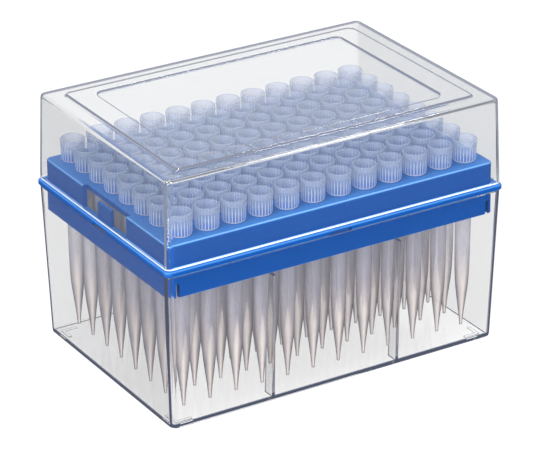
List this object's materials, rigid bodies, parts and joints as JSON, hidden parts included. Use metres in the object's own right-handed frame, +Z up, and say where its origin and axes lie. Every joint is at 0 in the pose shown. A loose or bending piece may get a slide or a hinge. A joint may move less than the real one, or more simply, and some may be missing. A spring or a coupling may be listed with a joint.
{
  "type": "pipette tip box",
  "caption": "Clear box with a lift-off lid and a perforated tray that holds a grid of translucent pipette tips upright.",
  "frame": {"origin": "centre of the footprint, on the surface the box stands on", "axes": "+X along the long side from tip column 1 to column 12, -Y towards the front, +Z up"},
  "size_m": [0.1174, 0.0802, 0.0804],
  "materials": {
    "clear_polystyrene": "clear, polished",
    "clear_lid": "clear, polished",
    "blue_tray": "satin, opaque",
    "translucent_tip": "translucent, smooth"
  },
  "bodies": {
    "base": {"base_box": "clear_polystyrene"},
    "tray": {"tip_tray": "blue_tray"},
    "cover": {"lid": "clear_lid"},
    "tip_h01_body": {"tip_h01": "translucent_tip"},
    "tip_h02_body": {"tip_h02": "translucent_tip"},
    "tip_h03_body": {"tip_h03": "translucent_tip"},
    "tip_h04_body": {"tip_h04": "translucent_tip"},
    "tip_h05_body": {"tip_h05": "translucent_tip"},
    "tip_h06_body": {"tip_h06": "translucent_tip"},
    "tip_h07_body": {"tip_h07": "translucent_tip"},
    "tip_h08_body": {"tip_h08": "translucent_tip"},
    "tip_h09_body": {"tip_h09": "translucent_tip"},
    "tip_h10_body": {"tip_h10": "translucent_tip"},
    "tip_h11_body": {"tip_h11": "translucent_tip"},
    "tip_h12_body": {"tip_h12": "translucent_tip"},
    "tip_g01_body": {"tip_g01": "translucent_tip"},
    "tip_f01_body": {"tip_f01": "translucent_tip"},
    "tip_e01_body": {"tip_e01": "translucent_tip"},
    "tip_d01_body": {"tip_d01": "translucent_tip"},
    "tip_c01_body": {"tip_c01": "translucent_tip"},
    "tip_b01_body": {"tip_b01": "translucent_tip"},
    "tip_a01_body": {"tip_a01": "translucent_tip"},
    "tips_col02_body": {"tips_col02": "translucent_tip"},
    "tips_col03_body": {"tips_col03": "translucent_tip"},
    "tips_col04_body": {"tips_col04": "translucent_tip"},
    "tips_col05_body": {"tips_col05": "translucent_tip"},
    "tips_col06_body": {"tips_col06": "translucent_tip"},
    "tips_col07_body": {"tips_col07": "translucent_tip"},
    "tips_col08_body": {"tips_col08": "translucent_tip"},
    "tips_col09_body": {"tips_col09": "translucent_tip"},
    "tips_col10_body": {"tips_col10": "translucent_tip"},
    "tips_col11_body": {"tips_col11": "translucent_tip"},
    "tips_col12_body": {"tips_col12": "translucent_tip"}
  },
  "joints": [
    {"name": "tray_lift", "type": "slide", "parent": "base", "child": "tray", "axis": [0, 0, 1], "range_m": [0, 0.06]},
    {"name": "lid_lift", "type": "slide", "parent": "tray", "child": "cover", "axis": [0, 0, 1], "range_m": [0, 0.06]},
    {"name": "tip_h01_lift", "type": "slide", "parent": "tray", "child": "tip_h01_body", "axis": [0, 0, 1], "range_m": [0, 0.01]},
    {"name": "tip_h02_lift", "type": "slide", "parent": "tray", "child": "tip_h02_body", "axis": [0, 0, 1], "range_m": [0, 0.01]},
    {"name": "tip_h03_lift", "type": "slide", "parent": "tray", "child": "tip_h03_body", "axis": [0, 0, 1], "range_m": [0, 0.01]},
    {"name": "tip_h04_lift", "type": "slide", "parent": "tray", "child": "tip_h04_body", "axis": [0, 0, 1], "range_m": [0, 0.01]},
    {"name": "tip_h05_lift", "type": "slide", "parent": "tray", "child": "tip_h05_body", "axis": [0, 0, 1], "range_m": [0, 0.01]},
    {"name": "tip_h06_lift", "type": "slide", "parent": "tray", "child": "tip_h06_body", "axis": [0, 0, 1], "range_m": [0, 0.01]},
    {"name": "tip_h07_lift", "type": "slide", "parent": "tray", "child": "tip_h07_body", "axis": [0, 0, 1], "range_m": [0, 0.01]},
    {"name": "tip_h08_lift", "type": "slide", "parent": "tray", "child": "tip_h08_body", "axis": [0, 0, 1], "range_m": [0, 0.01]},
    {"name": "tip_h09_lift", "type": "slide", "parent": "tray", "child": "tip_h09_body", "axis": [0, 0, 1], "range_m": [0, 0.01]},
    {"name": "tip_h10_lift", "type": "slide", "parent": "tray", "child": "tip_h10_body", "axis": [0, 0, 1], "range_m": [0, 0.01]},
    {"name": "tip_h11_lift", "type": "slide", "parent": "tray", "child": "tip_h11_body", "axis": [0, 0, 1], "range_m": [0, 0.01]},
    {"name": "tip_h12_lift", "type": "slide", "parent": "tray", "child": "tip_h12_body", "axis": [0, 0, 1], "range_m": [0, 0.01]},
    {"name": "tip_g01_lift", "type": "slide", "parent": "tray", "child": "tip_g01_body", "axis": [0, 0, 1], "range_m": [0, 0.01]},
    {"name": "tip_f01_lift", "type": "slide", "parent": "tray", "child": "tip_f01_body", "axis": [0, 0, 1], "range_m": [0, 0.01]},
    {"name": "tip_e01_lift", "type": "slide", "parent": "tray", "child": "tip_e01_body", "axis": [0, 0, 1], "range_m": [0, 0.01]},
    {"name": "tip_d01_lift", "type": "slide", "parent": "tray", "child": "tip_d01_body", "axis": [0, 0, 1], "range_m": [0, 0.01]},
    {"name": "tip_c01_lift", "type": "slide", "parent": "tray", "child": "tip_c01_body", "axis": [0, 0, 1], "range_m": [0, 0.01]},
    {"name": "tip_b01_lift", "type": "slide", "parent": "tray", "child": "tip_b01_body", "axis": [0, 0, 1], "range_m": [0, 0.01]},
    {"name": "tip_a01_lift", "type": "slide", "parent": "tray", "child": "tip_a01_body", "axis": [0, 0, 1], "range_m": [0, 0.01]},
    {"name": "tips_col02_lift", "type": "slide", "parent": "tray", "child": "tips_col02_body", "axis": [0, 0, 1], "range_m": [0, 0.01]},
    {"name": "tips_col03_lift", "type": "slide", "parent": "tray", "child": "tips_col03_body", "axis": [0, 0, 1], "range_m": [0, 0.01]},
    {"name": "tips_col04_lift", "type": "slide", "parent": "tray", "child": "tips_col04_body", "axis": [0, 0, 1], "range_m": [0, 0.01]},
    {"name": "tips_col05_lift", "type": "slide", "parent": "tray", "child": "tips_col05_body", "axis": [0, 0, 1], "range_m": [0, 0.01]},
    {"name": "tips_col06_lift", "type": "slide", "parent": "tray", "child": "tips_col06_body", "axis": [0, 0, 1], "range_m": [0, 0.01]},
    {"name": "tips_col07_lift", "type": "slide", "parent": "tray", "child": "tips_col07_body", "axis": [0, 0, 1], "range_m": [0, 0.01]},
    {"name": "tips_col08_lift", "type": "slide", "parent": "tray", "child": "tips_col08_body", "axis": [0, 0, 1], "range_m": [0, 0.01]},
    {"name": "tips_col09_lift", "type": "slide", "parent": "tray", "child": "tips_col09_body", "axis": [0, 0, 1], "range_m": [0, 0.01]},
    {"name": "tips_col10_lift", "type": "slide", "parent": "tray", "child": "tips_col10_body", "axis": [0, 0, 1], "range_m": [0, 0.01]},
    {"name": "tips_col11_lift", "type": "slide", "parent": "tray", "child": "tips_col11_body", "axis": [0, 0, 1], "range_m": [0, 0.01]},
    {"name": "tips_col12_lift", "type": "slide", "parent": "tray", "child": "tips_col12_body", "axis": [0, 0, 1], "range_m": [0, 0.01]}
  ]
}
